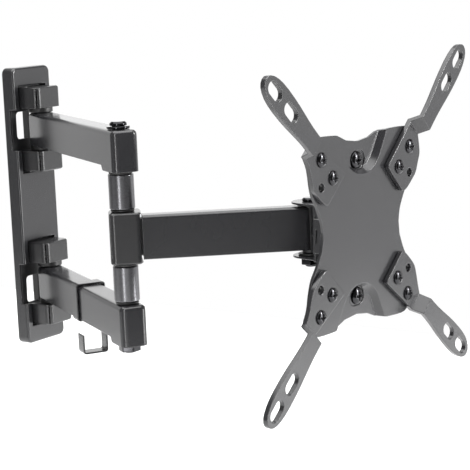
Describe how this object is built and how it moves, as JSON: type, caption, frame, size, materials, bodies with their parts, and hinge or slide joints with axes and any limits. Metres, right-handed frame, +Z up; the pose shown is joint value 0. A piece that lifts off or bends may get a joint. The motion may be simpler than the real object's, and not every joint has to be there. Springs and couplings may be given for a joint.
{
  "type": "full motion tv wall mount",
  "caption": "Full-motion wall mount: wall plate, paired swing arms, single outer arm, swivel and tilt head, and a screen plate with slotted extension arms.",
  "frame": {"origin": "centre of the wall plate, on the plane that rests on the wall", "axes": "+X to the right of someone facing the wall, -Y out from the wall, +Z up"},
  "size_m": [0.2319, 0.319, 0.2213],
  "materials": {
    "graphite_coat": "satin graphite powder coat",
    "charcoal_coat": "satin charcoal powder coat",
    "charcoal_plastic": "fine-grained moulding",
    "black_steel": "matte black coat",
    "black_zinc": "black zinc fasteners",
    "satin_steel": "turned, satin",
    "nylon": "black nylon"
  },
  "bodies": {
    "wall": {"wall_bracket": "black_steel", "wall_cover": "graphite_coat", "upper_knuckle_cap_top": "charcoal_plastic", "upper_knuckle_cap_bottom": "charcoal_plastic", "upper_pivot_bolt": "black_zinc", "upper_pivot_nut": "black_zinc", "upper_pivot_spacer_top": "nylon", "upper_pivot_spacer_bottom": "nylon", "lower_knuckle_cap_top": "charcoal_plastic", "lower_knuckle_cap_bottom": "charcoal_plastic", "lower_pivot_bolt": "black_zinc", "lower_pivot_nut": "black_zinc", "lower_pivot_spacer_top": "nylon", "lower_pivot_spacer_bottom": "nylon"},
    "arms": {"upper_arm": "graphite_coat", "upper_pivot_bush": "satin_steel", "upper_elbow_bush": "satin_steel", "lower_arm": "graphite_coat", "lower_pivot_bush": "satin_steel", "lower_elbow_bush": "satin_steel", "elbow_bolt": "black_zinc", "elbow_washer": "black_zinc", "elbow_nut": "black_zinc", "upper_elbow_ring_low": "nylon", "upper_elbow_ring_high": "nylon", "upper_elbow_tube": "satin_steel", "lower_elbow_ring_low": "nylon", "lower_elbow_ring_high": "nylon", "lower_elbow_tube": "satin_steel"},
    "clip": {"cable_clip": "charcoal_coat"},
    "outer_arm": {"elbow_barrel": "black_steel", "elbow_sleeve": "charcoal_plastic", "outer_arm": "graphite_coat", "head_hub": "black_steel"},
    "swivel": {"swivel_bracket": "graphite_coat", "swivel_bolt": "black_zinc", "swivel_nut": "black_zinc", "swivel_washer_top": "nylon", "swivel_washer_bottom": "nylon"},
    "tilt": {"tilt_bracket": "charcoal_coat", "tilt_bolt_left": "black_zinc", "tilt_nut_left": "black_zinc", "tilt_bolt_right": "black_zinc", "tilt_nut_right": "black_zinc", "level_screw_top": "black_zinc", "level_screw_bottom": "black_zinc"},
    "screen": {"screen_plate": "graphite_coat", "extension_arm_top_left": "graphite_coat", "corner_screw_top_left_inner": "black_zinc", "corner_screw_top_left_outer": "black_zinc", "extension_arm_top_right": "graphite_coat", "corner_screw_top_right_inner": "black_zinc", "corner_screw_top_right_outer": "black_zinc", "extension_arm_bottom_left": "graphite_coat", "corner_screw_bottom_left_inner": "black_zinc", "corner_screw_bottom_left_outer": "black_zinc", "extension_arm_bottom_right": "graphite_coat", "corner_screw_bottom_right_inner": "black_zinc", "corner_screw_bottom_right_outer": "black_zinc"}
  },
  "joints": [
    {"name": "arms_swing", "type": "hinge", "parent": "wall", "child": "arms", "pos_m": [0, -0.0178, 0], "axis": [0, 0, 1], "range_deg": [-54.6, 115.4]},
    {"name": "elbow_swing", "type": "hinge", "parent": "arms", "child": "outer_arm", "pos_m": [-0.0839, -0.16081, 0], "axis": [0, 0, -1], "range_deg": [-79.2, 170.8]},
    {"name": "head_swivel", "type": "hinge", "parent": "outer_arm", "child": "swivel", "pos_m": [-0.00347, -0.25531, 0], "axis": [0, 0, 1], "range_deg": [-45.5, 134.5]},
    {"name": "head_tilt", "type": "hinge", "parent": "swivel", "child": "tilt", "pos_m": [-0.00519, -0.27925, 0.0005], "axis": [0.9974, -0.0715, 0], "range_deg": [-6.35, 13.65]},
    {"name": "screen_level", "type": "hinge", "parent": "tilt", "child": "screen", "pos_m": [-0.00519, -0.27925, 0.0005], "axis": [-0.0715, -0.9972, -0.0236], "range_deg": [-1.5, 4.5]},
    {"name": "clip_slide", "type": "slide", "parent": "arms", "child": "clip", "axis": [-0.506, -0.8625, 0], "range_m": [-0.05, 0.055]}
  ]
}
